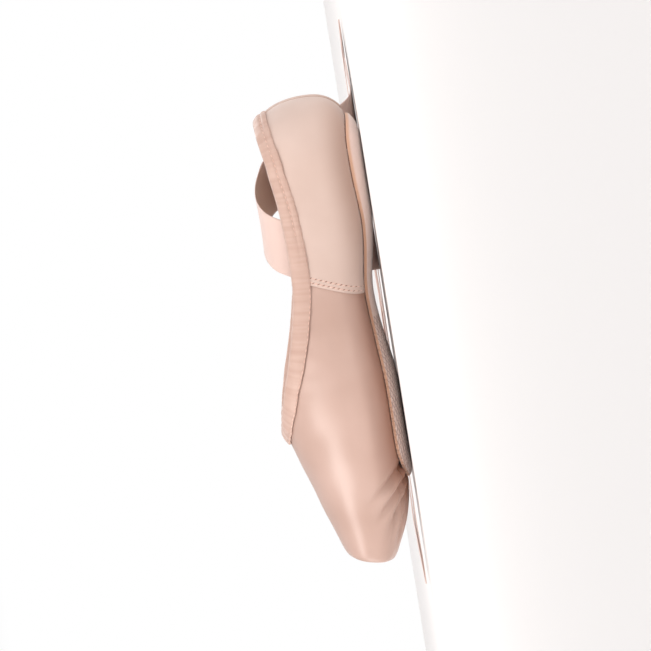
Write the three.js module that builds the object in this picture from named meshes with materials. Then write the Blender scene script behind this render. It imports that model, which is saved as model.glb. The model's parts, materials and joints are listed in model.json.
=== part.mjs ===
// Pointe shoe, one shoe standing unbent on its sole. Millimetres, x to the toe, y to the left, z up.
import * as THREE from 'three';
import { mergeVertices } from 'three/addons/utils/BufferGeometryUtils.js';

// Driving sizes. Lengths along the shoe start at the back of the heel.
const shoe = {
  length: 228,
  ballWidth: 88,
  heelWidth: 57,
  restAlong: 160,
  gap: 0.3,
};

const wall = { quarter: 1.6, box: 3.0, boxStart: 150, boxFull: 178 };
const platform = { lean: 12, along: shoe.length, height: 14, cornerRadius: 3.5 };
const heel = { centre: 29, planPower: 2.2 };
const ball = shoe.ballWidth / 2;
const back = shoe.heelWidth / 2;

// The last, one row a section: half is half its width, widest the height of its broadest line, under and
// crown the heights of its lowest and highest lines, square how boxy the section is (2 is an ellipse).
const lastSections = [
  { along: 0, half: back, widest: 23, under: 3.3, crown: 54, square: 2.5 },
  { along: 29, half: back, widest: 23, under: 3.3, crown: 54.5, square: 2.5 },
  { along: 56, half: back + 0.8, widest: 23.5, under: 3.4, crown: 57.5, square: 2.5 },
  { along: 76, half: back + 2.4, widest: 24.5, under: 6.2, crown: 60.5, square: 2.5 },
  { along: 96, half: ball - 10, widest: 25, under: 9.4, crown: 63.5, square: 2.45 },
  { along: 118, half: ball - 4.6, widest: 22.5, under: 7.4, crown: 65.5, square: 2.35 },
  { along: 136, half: ball - 1, widest: 21, under: 4.1, crown: 64.3, square: 2.22 },
  { along: 150, half: ball, widest: 20, under: 3.3, crown: 61.2, square: 2.18 },
  { along: 166, half: ball - 1, widest: 20, under: 3.3, crown: 56.4, square: 2.18 },
  { along: 182, half: ball - 4, widest: 20.6, under: 3.3, crown: 51.4, square: 2.22 },
  { along: 196, half: ball - 7.8, widest: 21.6, under: 4.1, crown: 47, square: 2.3 },
  { along: 208, half: ball - 11.6, widest: 23, under: 6.6, crown: 43, square: 2.38 },
  { along: 218, half: ball - 15, widest: 24.4, under: 10, crown: 39.9, square: 2.45 },
  { along: 228, half: ball - 18.4, widest: 25.5, under: 14.2, crown: 37, square: 2.5 },
  { along: 240, half: ball - 22, widest: 26, under: 18, crown: 34, square: 2.5 },
];

// The topline seen from the side. Where it meets the crown it makes the throat.
const topline = [
  { along: 0, height: 50.4 },
  { along: 10, height: 49.6 },
  { along: 30, height: 46.6 },
  { along: 58, height: 43.6 },
  { along: 84, height: 43 },
  { along: 103, height: 46 },
  { along: 119, height: 50.2 },
  { along: 136, height: 55 },
  { along: 148, height: 57.9 },
  { along: 157, height: 59.2 },
  { along: 240, height: 64 },
];

// Half widths of the sole between its rounded ends.
const soleWidths = [
  { along: 0, half: 19 },
  { along: 22, half: 21 },
  { along: 42, half: 20.6 },
  { along: 62, half: 17 },
  { along: 82, half: 13.8 },
  { along: 98, half: 13.6 },
  { along: 114, half: 18 },
  { along: 132, half: 26 },
  { along: 150, half: 29.6 },
  { along: 168, half: 29.2 },
  { along: 182, half: 26.4 },
  { along: 210, half: 19 },
];
const soleEnds = { start: 10.5, startRound: 16, end: 190, endRound: 21 };
const sole = { thickness: 3, edge: 1.4, flatten: 0.6 };
const openingInset = 6;
const insole = { thickness: 1.5, wider: 3, start: 8, end: 205 };

// The binding folds over the topline. Its section: depth below the topline as a share of its width, and
// share of the bulge that it stands out from the wall's face.
const binding = { width: 8.5, bulge: 1.5, cover: 1.3, topLift: 0.7 };
const bindingSide = [
  { depth: 1, out: 0 },
  { depth: 0.94, out: 0.55 },
  { depth: 0.62, out: 1 },
  { depth: 0.28, out: 1 },
  { depth: 0.06, out: 0.6 },
];

// Grid lines of every shell and plate, heel to toe: each line leaves the spine at a bearing (180 is
// backwards, 90 sideways, 0 forwards) from a centre that moves between its lowest and highest point.
const linesHalf = 36;
const gridGuides = [
  { line: 0, bearing: 180, low: 26, middle: 28, high: 30 },
  { line: 4, bearing: 128, low: 27, middle: 29, high: 31 },
  { line: 7, bearing: 90, low: 30, middle: 32, high: 34 },
  { line: 12, bearing: 90, low: 70, middle: 69, high: 66 },
  { line: 15, bearing: 90, low: 96, middle: 94, high: 88 },
  { line: 21, bearing: 90, low: 150, middle: 148, high: 127 },
  { line: 26, bearing: 79, low: 177, middle: 186, high: 142 },
  { line: 29, bearing: 53, low: 181, middle: 190, high: 147 },
  { line: 31, bearing: 39.5, low: 182, middle: 190, high: 148 },
  { line: 32, bearing: 36, low: 182, middle: 190, high: 148 },
  { line: 33, bearing: 32, low: 182, middle: 190, high: 149 },
  { line: 36, bearing: 0, low: 182, middle: 190, high: 149 },
];
const upperRows = 18;
const bendWeight = 16;
const pathSteps = 240;
const halvings = 34;
const farthest = { onLast: 90, onPlate: 80 };
const slopeGaps = 1.5;

const { abs, cos, hypot, max, min, PI, sin, sqrt } = Math;
const radians = THREE.MathUtils.degToRad;

// Smooth curve through one column of a table, without overshoot.
function column(rows, from, name) {
  const slopes = rows.map((row, i) => {
    if (i === 0 || i === rows.length - 1) return 0;
    const before = (row[name] - rows[i - 1][name]) / (row[from] - rows[i - 1][from]);
    const after = (rows[i + 1][name] - row[name]) / (rows[i + 1][from] - row[from]);
    return before * after <= 0 ? 0 : (2 * before * after) / (before + after);
  });
  return (value) => {
    const at = min(max(value, rows[0][from]), rows.at(-1)[from]);
    const i = min(max(rows.findIndex((row) => row[from] >= at) - 1, 0), rows.length - 2);
    const span = rows[i + 1][from] - rows[i][from];
    const t = (at - rows[i][from]) / span;
    const rise = rows[i + 1][name] - rows[i][name];
    const a = slopes[i] * span - rise;
    const b = rise - slopes[i + 1] * span;
    return rows[i][name] + t * rise + t * (1 - t) * (a * (1 - t) + b * t);
  };
}

const half = column(lastSections, 'along', 'half');
const widest = column(lastSections, 'along', 'widest');
const under = column(lastSections, 'along', 'under');
const crown = column(lastSections, 'along', 'crown');
const square = column(lastSections, 'along', 'square');
const toplineHeight = column(topline, 'along', 'height');
const soleWidth = column(soleWidths, 'along', 'half');
const guideBearing = column(gridGuides, 'line', 'bearing');
const guideLow = column(gridGuides, 'line', 'low');
const guideMiddle = column(gridGuides, 'line', 'middle');
const guideHigh = column(gridGuides, 'line', 'high');

const wallThickness = (x) =>
  THREE.MathUtils.lerp(wall.quarter, wall.box, THREE.MathUtils.smoothstep(x, wall.boxStart, wall.boxFull));

// How far out a plan point lies in its section, 0 on the centre line and 1 at the widest.
function planShare(x, y) {
  const side = abs(y) / half(x);
  const behind = max(0, (heel.centre - x) / heel.centre);
  return (side ** heel.planPower + behind ** heel.planPower) ** (1 / heel.planPower);
}

// Signed distance-like value: below zero inside the last, zero on it.
function lastField(x, y, z) {
  const rise = z - widest(x);
  const span = rise > 0 ? crown(x) - widest(x) : widest(x) - under(x);
  const share = (planShare(x, y) ** square(x) + (abs(rise) / span) ** square(x)) ** (1 / square(x));
  const reach = hypot(y, rise, max(0, heel.centre - x));
  const section = share > 0 ? (reach * (share - 1)) / share : -span;
  const face = (x - platform.along) * cos(radians(platform.lean))
    + (z - platform.height) * sin(radians(platform.lean));
  const blend = max(0, platform.cornerRadius - abs(section - face));
  return max(section, face) + blend ** 2 / (4 * platform.cornerRadius);
}

function lastNormal(point) {
  const step = 0.05;
  const slope = (dx, dy, dz) => lastField(point.x + dx, point.y + dy, point.z + dz)
    - lastField(point.x - dx, point.y - dy, point.z - dz);
  return new THREE.Vector3(slope(step, 0, 0), slope(0, step, 0), slope(0, 0, step)).normalize();
}

// The height of the last's underside over a plan point.
function underside(x, y) {
  const share = min(planShare(x, y), 0.999);
  return widest(x) - (widest(x) - under(x)) * (1 - share ** square(x)) ** (1 / square(x));
}

const endRound = (distance, radius) => {
  const left = min(max(distance / radius, 0), 1);
  return sqrt(1 - (1 - left) ** 2);
};
const plateHalf = (x, ends, wider) => max(0, soleWidth(x) + wider)
  * endRound(x - ends.start, ends.startRound) * endRound(ends.end - x, ends.endRound);
const soleHalf = (x) => plateHalf(x, soleEnds, 0);
const openingEnds = {
  ...soleEnds, start: soleEnds.start + openingInset, end: soleEnds.end - openingInset,
};
const openingHalf = (x) => plateHalf(x, openingEnds, -openingInset);
const insoleEnds = { start: insole.start, startRound: 22, end: insole.end, endRound: 24 };
const insoleHalf = (x) => plateHalf(x, insoleEnds, insole.wider);

// Where the ray of one grid line at one pitch meets the last.
function onLast(line, pitch) {
  const bearing = radians(guideBearing(line));
  const lean = abs(sin(pitch)) ** 3;
  const away = pitch < 0 ? guideLow(line) : guideHigh(line);
  const centre = THREE.MathUtils.lerp(guideMiddle(line), away, lean);
  const spine = widest(centre) + 2;
  const ray = [cos(bearing) * cos(pitch), sin(bearing) * cos(pitch), sin(pitch)];
  let near = 0;
  let far = farthest.onLast;
  for (let i = 0; i < halvings; i += 1) {
    const reach = (near + far) / 2;
    const inside = lastField(centre + ray[0] * reach, ray[1] * reach, spine + ray[2] * reach) < 0;
    if (inside) near = reach;
    else far = reach;
  }
  return new THREE.Vector3(centre + ray[0] * near, ray[1] * near, spine + ray[2] * near);
}

// One grid line over the last, from the opening below to the topline, as points a short step apart.
function gridPath(line) {
  const points = [];
  for (let i = 0; i <= pathSteps; i += 1) {
    const point = onLast(line, PI * (i / pathSteps - 0.5));
    const belowOpening = point.z < widest(point.x) && abs(point.y) < openingHalf(point.x);
    if (!belowOpening && point.z < toplineHeight(point.x)) points.push(point);
  }
  const lengths = [0];
  const weights = [0];
  for (let i = 1; i < points.length; i += 1) {
    const stride = points[i].distanceTo(points[i - 1]);
    const turn = i < 2 ? 0 : points[i].clone().sub(points[i - 1])
      .angleTo(points[i - 1].clone().sub(points[i - 2]));
    lengths.push(lengths[i - 1] + stride);
    weights.push(weights[i - 1] + stride + bendWeight * turn);
  }
  return { points, lengths, weights };
}

// The point of a path where one of its running totals reaches a value.
function along(path, totals, value) {
  const i = min(max(totals.findIndex((total) => total >= value), 1), totals.length - 1);
  const share = (value - totals[i - 1]) / (totals[i] - totals[i - 1]);
  return path.points[i - 1].clone().lerp(path.points[i], share);
}

const offset = (point, distance) => point.clone().addScaledVector(lastNormal(point), distance);

const leftPaths = Array.from({ length: linesHalf + 1 }, (_, line) => gridPath(line));
const mirror = (point) => new THREE.Vector3(point.x, -point.y, point.z);

// Both sides of the loop from one function of a grid line: heel, left side, toe, right side.
function aroundShoe(columnOf) {
  const left = Array.from({ length: linesHalf + 1 }, (_, line) => columnOf(line));
  left[0].forEach((point) => point.setY(0));
  left[linesHalf].forEach((point) => point.setY(0));
  const right = left.slice(1, linesHalf).reverse().map((points) => points.map(mirror));
  return [...left, ...right];
}

// A closed skin over rings of points, the last ring meeting the first. Each ring is a closed section, or
// one that starts and ends on the spine, where the two sides of a plate meet.
function closedLoop(rings, onSpine = false) {
  const positions = rings.flat().flatMap((point) => [point.x - shoe.restAlong, point.y, point.z]);
  const count = rings[0].length;
  const index = [];
  for (let i = 0; i < rings.length; i += 1) {
    const next = (i + 1) % rings.length;
    for (let j = 0; j < (onSpine ? count - 1 : count); j += 1) {
      const [a, b] = [i * count + j, i * count + (j + 1) % count];
      const [c, d] = [next * count + (j + 1) % count, next * count + j];
      index.push(a, b, c, a, c, d);
    }
  }
  const geometry = new THREE.BufferGeometry();
  geometry.setAttribute('position', new THREE.Float32BufferAttribute(positions, 3));
  geometry.setIndex(index);
  return geometry;
}

// A closed skin over rings of four points, with a cap at each end.
function closedStrip(rings) {
  const geometry = closedLoop(rings);
  const index = Array.from(geometry.index.array).slice(0, -6 * rings[0].length);
  const end = (rings.length - 1) * rings[0].length;
  geometry.setIndex([...index, 0, 2, 1, 0, 3, 2, end, end + 1, end + 2, end, end + 2, end + 3]);
  return geometry;
}

// Drops the triangles that merging leaves without area.
function withoutSlivers(geometry) {
  const merged = mergeVertices(geometry, 1e-3);
  const kept = [];
  for (let i = 0; i < merged.index.count; i += 3) {
    const corners = [0, 1, 2].map((k) => merged.index.getX(i + k));
    if (new Set(corners).size === 3) kept.push(...corners);
  }
  merged.setIndex(kept);
  return merged;
}

// The upper: outer points up to just short of the topline, then the inner face back down.
function upperGeometry() {
  const rings = aroundShoe((line) => {
    const path = leftPaths[line];
    const total = path.lengths.at(-1);
    const belowBinding = path.lengths.findIndex((length) => length >= total - binding.width);
    const outer = Array.from({ length: upperRows }, (_, row) =>
      along(path, path.weights, (path.weights[belowBinding] * row) / upperRows));
    const edge = [binding.width, binding.width / 2, binding.cover];
    outer.push(...edge.map((depth) => along(path, path.lengths, total - depth)));
    const inner = outer.map((point) => offset(point, -wallThickness(point.x)));
    return [...outer, ...inner.reverse()];
  });
  return closedLoop(rings);
}

function bindingGeometry() {
  const rings = aroundShoe((line) => {
    const path = leftPaths[line];
    const total = path.lengths.at(-1);
    const spot = (depth) => along(path, path.lengths, total - depth);
    const outward = (depth, distance) => offset(spot(depth), shoe.gap + distance);
    const inward = (depth, distance) =>
      offset(spot(depth), -wallThickness(spot(depth).x) - shoe.gap - distance);
    const outer = bindingSide.map(({ depth, out }) =>
      outward(binding.width * depth, binding.bulge * out));
    const inner = bindingSide.map(({ depth, out }) =>
      inward(binding.width * depth, binding.bulge * out)).reverse();
    const top = outward(0, 0).lerp(inward(0, 0), 0.5).add(new THREE.Vector3(0, 0, binding.topLift));
    const slot = [binding.width / 2, binding.cover - shoe.gap];
    const slotInner = slot.map((depth) => inward(depth, 0));
    const slotOuter = slot.map((depth) => outward(depth, 0)).reverse();
    return [...outer, top, ...inner, ...slotInner, ...slotOuter];
  });
  return closedLoop(rings);
}

// A plate over the sole's grid lines: rings shrink from its outline to the spine, above and below.
function plateGeometry(halfWidth, ends, bottom, top) {
  const ringShares = [0, 0.36, 0.68, 0.9, 1];
  const rings = aroundShoe((line) => {
    const bearing = radians(guideBearing(line));
    const centre = min(max(guideLow(line), ends.start + ends.startRound), ends.end - ends.endRound / 2);
    let near = 0;
    let far = farthest.onPlate;
    for (let i = 0; i < halvings; i += 1) {
      const reach = (near + far) / 2;
      const x = centre + reach * cos(bearing);
      const inside = reach * sin(bearing) < halfWidth(x) && x > ends.start && x < ends.end;
      if (inside) near = reach;
      else far = reach;
    }
    const spot = (share, height) => {
      const x = centre + near * share * cos(bearing);
      const y = near * share * sin(bearing);
      return new THREE.Vector3(x, y, height(x, y, share));
    };
    const below = ringShares.map((share) => spot(share, bottom));
    const above = ringShares.map((share) => spot(share, top)).reverse();
    return [...below, ...above];
  });
  return closedLoop(rings, true);
}

const outsoleTop = (x, y) => underside(x, y) - shoe.gap;
function outsoleBottom(x, y, share) {
  const thickness = sole.edge + (sole.thickness + sole.flatten - sole.edge) * (1 - share ** 4);
  return max(0, outsoleTop(x, y) - thickness);
}

// Height of the inner face above a plan point, allowing for the slope of the wall there.
function innerFloor(x, y) {
  const across = underside(x, abs(y) + 1) - underside(x, abs(y));
  const lengthwise = underside(x + 0.5, y) - underside(x - 0.5, y);
  return underside(x, y) + (wallThickness(x) + slopeGaps * shoe.gap) * hypot(1, across, lengthwise);
}

// The two ribbon ties, sewn inside the quarters behind the side seam and laid down on the right of the
// shoe. Each hangs over a curtain whose section is its drop, at a slant, then lies in runs that fold.
const ribbon = { width: 25, thickness: 0.6, length: 457, dropSteps: 30, foldReach: 0.7 };
const dropOver = [
  { y: -22.4, z: 27 },
  { y: -22.4, z: 40.5 },
  { y: -23.2, z: 45.2 },
  { y: -27.2, z: 46.6 },
  { y: -32, z: 44.4 },
  { y: -34, z: 38 },
  { y: -35, z: 26 },
  { y: -35.4, z: 12 },
  { y: -38, z: 3.6 },
  { y: -43, z: 0.9 },
  { y: -50, z: 0.6 },
];
const dropAcross = [
  { y: 21.6, z: 27 },
  { y: 21.6, z: 40 },
  { y: 19, z: 49 },
  { y: 8, z: 54 },
  { y: -6, z: 54 },
  { y: -18, z: 51.2 },
  { y: -26.4, z: 48.4 },
  { y: -31, z: 42 },
  { y: -32.4, z: 30 },
  { y: -33, z: 14 },
  { y: -36, z: 4 },
  { y: -42, z: 1 },
  { y: -49, z: 0.6 },
];
const ribbonLays = [
  {
    name: 'ribbon_right',
    drop: dropOver,
    anchor: 72,
    slant: 7,
    folds: [{ run: 16, bearing: -2 }, { run: 175, bearing: -172 }],
  },
  {
    name: 'ribbon_left',
    drop: dropAcross,
    anchor: 76,
    slant: -25,
    folds: [{ run: 80, bearing: 1 }],
  },
];

function ribbonGeometry({ drop, anchor, slant, folds }) {
  const spots = drop.map(({ y, z }) => new THREE.Vector3(0, y, z));
  const curve = new THREE.CatmullRomCurve3(spots, false, 'centripetal');
  curve.arcLengthDivisions = 800;
  const reach = curve.getLength();
  const lean = radians(slant);
  const side = ribbon.width / 2;
  const rise = ribbon.thickness / 2;

  // A spot of the strip over the curtain: s along it, t to the side, lift off its middle surface.
  function hung(s, t, lift) {
    const fall = s * cos(lean) - t * sin(lean);
    const held = min(max(fall / reach, 0), 1);
    const tangent = curve.getTangentAt(held);
    return curve.getPointAt(held)
      .addScaledVector(tangent, fall - held * reach)
      .add(new THREE.Vector3(anchor + s * sin(lean) + t * cos(lean), 0, 0))
      .addScaledVector(new THREE.Vector3(0, -tangent.z, tangent.y), -lift);
  }
  const section = (spot) => [spot(side, rise), spot(-side, rise), spot(-side, -rise), spot(side, -rise)];
  const landing = reach / cos(lean);
  const rings = Array.from({ length: ribbon.dropSteps + 1 }, (_, i) =>
    section((t, lift) => hung((landing * i) / ribbon.dropSteps, t, lift)));

  const layer = ribbon.thickness + shoe.gap;
  const turning = hung(landing, 0, 0);
  let heading = new THREE.Vector3(sin(lean), -cos(lean), 0);
  let up = 1;
  let remaining = ribbon.length - landing;
  folds.forEach(({ run, bearing }) => {
    const next = new THREE.Vector3(cos(radians(bearing)), sin(radians(bearing)), 0);
    const crease = heading.clone().add(next).normalize();
    const across = crease.clone().cross(heading).z;
    turning.addScaledVector(heading, run);
    const fold = (forward, height, normal) => section((t, lift) => turning.clone()
      .addScaledVector(crease, (-t * up) / across)
      .addScaledVector(heading, forward)
      .add(new THREE.Vector3(0, 0, height))
      .addScaledVector(normal, lift));
    const upward = new THREE.Vector3(0, 0, up);
    rings.push(fold(0, 0, upward));
    rings.push(fold(layer * ribbon.foldReach, layer / 2, heading.clone().negate().multiplyScalar(up)));
    rings.push(fold(0, layer, upward.clone().negate()));
    turning.z += layer;
    heading = next;
    up = -up;
    remaining -= run;
  });
  turning.addScaledVector(heading, remaining);
  const sideways = new THREE.Vector3(0, 0, 1).cross(heading);
  rings.push(section((t, lift) => turning.clone().addScaledVector(sideways, t * up)
    .add(new THREE.Vector3(0, 0, lift * up))));
  return closedStrip(rings);
}

const looks = {
  satin: { color: 0xe3b9a6, roughness: 0.35 },
  tape: { color: 0xe6c0b0, roughness: 0.5 },
  suede: { color: 0xb8a49c, roughness: 0.9 },
  lining: { color: 0xe9dccb, roughness: 0.8 },
};

function piece(name, geometry, look) {
  const solid = withoutSlivers(geometry);
  solid.computeVertexNormals();
  const mesh = new THREE.Mesh(solid, new THREE.MeshStandardMaterial({ ...looks[look], metalness: 0 }));
  mesh.name = name;
  return mesh;
}

const pointeShoe = new THREE.Group();
pointeShoe.add(piece('upper', upperGeometry(), 'satin'));
pointeShoe.add(piece('binding', bindingGeometry(), 'tape'));
pointeShoe.add(piece('outsole', plateGeometry(soleHalf, soleEnds, outsoleBottom, outsoleTop), 'suede'));
pointeShoe.add(piece('insole', plateGeometry(insoleHalf, insoleEnds, innerFloor,
  (x, y) => innerFloor(x, y) + insole.thickness), 'lining'));
ribbonLays.forEach((lay) => pointeShoe.add(piece(lay.name, ribbonGeometry(lay), 'tape')));

export default pointeShoe;
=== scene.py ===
import json
import math

import bpy
import bmesh
import numpy as np
from mathutils import Matrix, Vector
from mathutils.bvhtree import BVHTree

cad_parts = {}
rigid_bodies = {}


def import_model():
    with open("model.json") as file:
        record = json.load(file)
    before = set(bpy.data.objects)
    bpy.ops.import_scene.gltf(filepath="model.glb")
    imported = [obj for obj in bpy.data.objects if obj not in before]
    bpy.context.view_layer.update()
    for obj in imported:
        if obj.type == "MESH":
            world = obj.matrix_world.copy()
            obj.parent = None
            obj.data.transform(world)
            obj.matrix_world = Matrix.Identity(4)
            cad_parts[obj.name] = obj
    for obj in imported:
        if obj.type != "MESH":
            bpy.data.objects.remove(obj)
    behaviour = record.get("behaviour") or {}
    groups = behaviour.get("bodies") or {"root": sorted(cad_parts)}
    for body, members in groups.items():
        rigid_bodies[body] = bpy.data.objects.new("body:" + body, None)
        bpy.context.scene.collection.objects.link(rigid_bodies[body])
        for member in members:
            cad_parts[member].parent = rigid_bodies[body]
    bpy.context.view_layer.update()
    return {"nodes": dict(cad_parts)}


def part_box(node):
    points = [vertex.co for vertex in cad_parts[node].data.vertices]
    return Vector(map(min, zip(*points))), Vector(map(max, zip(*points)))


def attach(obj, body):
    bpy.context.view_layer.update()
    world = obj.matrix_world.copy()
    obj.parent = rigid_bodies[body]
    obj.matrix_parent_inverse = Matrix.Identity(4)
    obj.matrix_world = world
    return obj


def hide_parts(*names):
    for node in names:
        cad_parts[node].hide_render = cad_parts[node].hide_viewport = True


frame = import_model()

mm = 0.001
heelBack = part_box("upper")[0][0]  # the back of the heel, where lengths along the shoe start


def alongShoe(millimetres):
    return heelBack + millimetres * mm


def deselectAll():
    if bpy.context.object and bpy.context.object.mode != "OBJECT":
        bpy.ops.object.mode_set(mode="OBJECT")
    bpy.ops.object.select_all(action="DESELECT")


def makeActive(piece):
    deselectAll()
    piece.select_set(True)
    bpy.context.view_layer.objects.active = piece


def newPiece(name, vertices, faces):
    mesh = bpy.data.meshes.new(name)
    mesh.from_pydata([tuple(v) for v in vertices], [], faces)
    mesh.update()
    piece = bpy.data.objects.new(name, mesh)
    bpy.context.scene.collection.objects.link(piece)
    return piece


def applyModifier(piece, kind, **settings):
    makeActive(piece)
    modifier = piece.modifiers.new(kind.lower(), kind)
    for key, value in settings.items():
        setattr(modifier, key, value)
    bpy.ops.object.modifier_apply(modifier=modifier.name)


def subdivide(piece, levels):
    applyModifier(piece, "SUBSURF", levels=levels, render_levels=levels)


def smooth(piece):
    makeActive(piece)
    bpy.ops.object.shade_smooth()


def points(piece):
    flat = np.empty(len(piece.data.vertices) * 3)
    piece.data.vertices.foreach_get("co", flat)
    return flat.reshape(-1, 3)


def normals(piece):
    flat = np.empty(len(piece.data.vertices) * 3)
    piece.data.vertices.foreach_get("normal", flat)
    return flat.reshape(-1, 3)


def setPoints(piece, places):
    piece.data.vertices.foreach_set("co", np.asarray(places, dtype=float).ravel())
    piece.data.update()


def vertexValues(piece, name):
    values = np.empty(len(piece.data.vertices))
    piece.data.attributes[name].data.foreach_get("value", values)
    return values


def ramp(low, high, value):
    share = np.clip((value - low) / (high - low), 0, 1)
    return share * share * (3 - 2 * share)


def register(piece, slot, *nodes):
    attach(piece, "root")
    if nodes:
        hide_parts(*nodes)


def linearColour(code):
    channels = [int(code[i : i + 2], 16) / 255 for i in (1, 3, 5)]
    return [c / 12.92 if c <= 0.04045 else ((c + 0.055) / 1.055) ** 2.4 for c in channels] + [1]


def addNode(tree, kind, settings=None, links=None):
    node = tree.nodes.new(kind)
    for key, value in (settings or {}).items():
        if key == "stops":
            elements = node.color_ramp.elements
            while len(elements) < len(value):
                elements.new(0.5)
            for element, (place, code) in zip(elements, value):
                element.position = place
                element.color = linearColour(code)
        elif isinstance(key, str) and hasattr(node, key):
            setattr(node, key, value)
        else:
            node.inputs[key].default_value = value
    for key, source in (links or {}).items():
        tree.links.new(source, node.inputs[key])
    return node


def startMaterial(name, shader):
    material = bpy.data.materials.new(name)
    material.use_nodes = True
    tree = material.node_tree
    tree.nodes.clear()
    surface = addNode(tree, "ShaderNodeBsdfPrincipled", shader)
    addNode(tree, "ShaderNodeOutputMaterial", links={"Surface": surface.outputs[0]})
    return material, tree, surface


# Painted shade: the cloth is coloured darker towards the sole, where shade and dark reflections fall near the
# floor. Height above it is in millimetres.
def paintShadeNearSole(tree, tone, code, height):
    away = addNode(tree, "ShaderNodeAttribute", {"attribute_name": "fromSole"}).outputs["Fac"]
    fade = addNode(tree, "ShaderNodeMapRange", {"From Max": float(height), "To Min": 0.85, "To Max": 0.0,
                                                "interpolation_type": "SMOOTHSTEP"}, {"Value": away})
    mix = addNode(tree, "ShaderNodeMix", {"data_type": "RGBA", 7: linearColour(code)},
                  {0: fade.outputs[0], 6: tone})
    return mix.outputs[2]


# Satin: a weave of long floating threads, which gives a smooth face with a broad soft highlight.
def makeSatin():
    looks = {"base": "#C2A396", "shade": "#B8988A", "paintedShadeNearSole": "#98644A", "paintedShadeHeight": 24,
             "roughness": 0.38, "threadMm": 0.9, "floatMm": 14}
    material, tree, surface = startMaterial("wovenSatin", {
        "Roughness": looks["roughness"], "Specular IOR Level": 0.75, "IOR": 1.5,
        "Sheen Weight": 0.18, "Sheen Roughness": 0.35,
    })
    place = addNode(tree, "ShaderNodeTexCoord").outputs["Object"]
    drift = addNode(tree, "ShaderNodeTexNoise", {"Scale": 34.0, "Detail": 2.0}, {"Vector": place})
    tone = addNode(tree, "ShaderNodeValToRGB", {"stops": [(0.3, looks["shade"]), (0.7, looks["base"])]},
                   {"Fac": drift.outputs["Fac"]}).outputs["Color"]
    # Painted shade: the satin turns brown towards the sole.
    tone = paintShadeNearSole(tree, tone, looks["paintedShadeNearSole"], looks["paintedShadeHeight"])
    tree.links.new(tone, surface.inputs["Base Color"])
    # Real threads lie 0.15 mm apart, too fine to show, so the weave is drawn six times as coarse.
    across = 1 / (looks["threadMm"] * mm)
    threads = addNode(tree, "ShaderNodeMapping", {"Scale": (1 / (looks["floatMm"] * mm), across, across)},
                      {"Vector": place})
    weave = addNode(tree, "ShaderNodeTexNoise", {"Scale": 1.0, "Detail": 2.0}, {"Vector": threads.outputs[0]})
    bump = addNode(tree, "ShaderNodeBump", {"Strength": 0.10, "Distance": 0.2 * mm},
                   {"Height": weave.outputs["Fac"]})
    tree.links.new(bump.outputs[0], surface.inputs["Normal"])
    return material


# Stretch satin: crimped threads scatter the light, so the quarters look chalky beside the vamp.
def makeStretchSatin():
    looks = {"base": "#D0B9AE", "shade": "#C8AFA3", "paintedShadeNearSole": "#AC8D7E", "paintedShadeHeight": 18, "knitMm": 0.8}
    material, tree, surface = startMaterial("stretchSatin", {
        "Roughness": 0.62, "Specular IOR Level": 0.35, "Sheen Weight": 0.45, "Sheen Roughness": 0.45,
    })
    place = addNode(tree, "ShaderNodeTexCoord").outputs["Object"]
    drift = addNode(tree, "ShaderNodeTexNoise", {"Scale": 26.0, "Detail": 3.0}, {"Vector": place})
    tone = addNode(tree, "ShaderNodeValToRGB", {"stops": [(0.3, looks["shade"]), (0.7, looks["base"])]},
                   {"Fac": drift.outputs["Fac"]}).outputs["Color"]
    # Painted shade: the stretch satin turns darker towards the sole.
    tone = paintShadeNearSole(tree, tone, looks["paintedShadeNearSole"], looks["paintedShadeHeight"])
    tree.links.new(tone, surface.inputs["Base Color"])
    knit = addNode(tree, "ShaderNodeTexNoise", {"Scale": 1 / (looks["knitMm"] * mm), "Detail": 2.0},
                   {"Vector": place})
    bump = addNode(tree, "ShaderNodeBump", {"Strength": 0.14, "Distance": 0.15 * mm},
                   {"Height": knit.outputs["Fac"]})
    tree.links.new(bump.outputs[0], surface.inputs["Normal"])
    return material


# Bias tape: satin cut on the slant and folded round a drawstring, so it puckers across its length.
def makeBiasTape():
    looks = {"base": "#C6A799", "fold": "#BC9A8B", "puckerMm": 2.4}
    material, tree, surface = startMaterial("biasTape", {
        "Roughness": 0.5, "Specular IOR Level": 0.5, "Sheen Weight": 0.3, "Sheen Roughness": 0.4,
    })
    route = addNode(tree, "ShaderNodeUVMap", {"uv_map": "run"}).outputs[0]
    scaled = addNode(tree, "ShaderNodeMapping", {"Scale": (1 / (looks["puckerMm"] * mm), 90.0, 1.0)},
                     {"Vector": route})
    pucker = addNode(tree, "ShaderNodeTexNoise", {"Scale": 1.0, "Detail": 1.5}, {"Vector": scaled.outputs[0]})
    # Painted shade: the tape is coloured darker in the troughs of its puckers, following the same noise that
    # bumps them.
    tone = addNode(tree, "ShaderNodeValToRGB", {"stops": [(0.25, looks["fold"]), (0.62, looks["base"])]},
                   {"Fac": pucker.outputs["Fac"]}).outputs["Color"]
    tree.links.new(tone, surface.inputs["Base Color"])
    bump = addNode(tree, "ShaderNodeBump", {"Strength": 0.16, "Distance": 0.5 * mm},
                   {"Height": pucker.outputs["Fac"]})
    tree.links.new(bump.outputs[0], surface.inputs["Normal"])
    return material


waveRepeat = 0.314  # a wave texture of scale 1 repeats every 2 pi / 20


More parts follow.
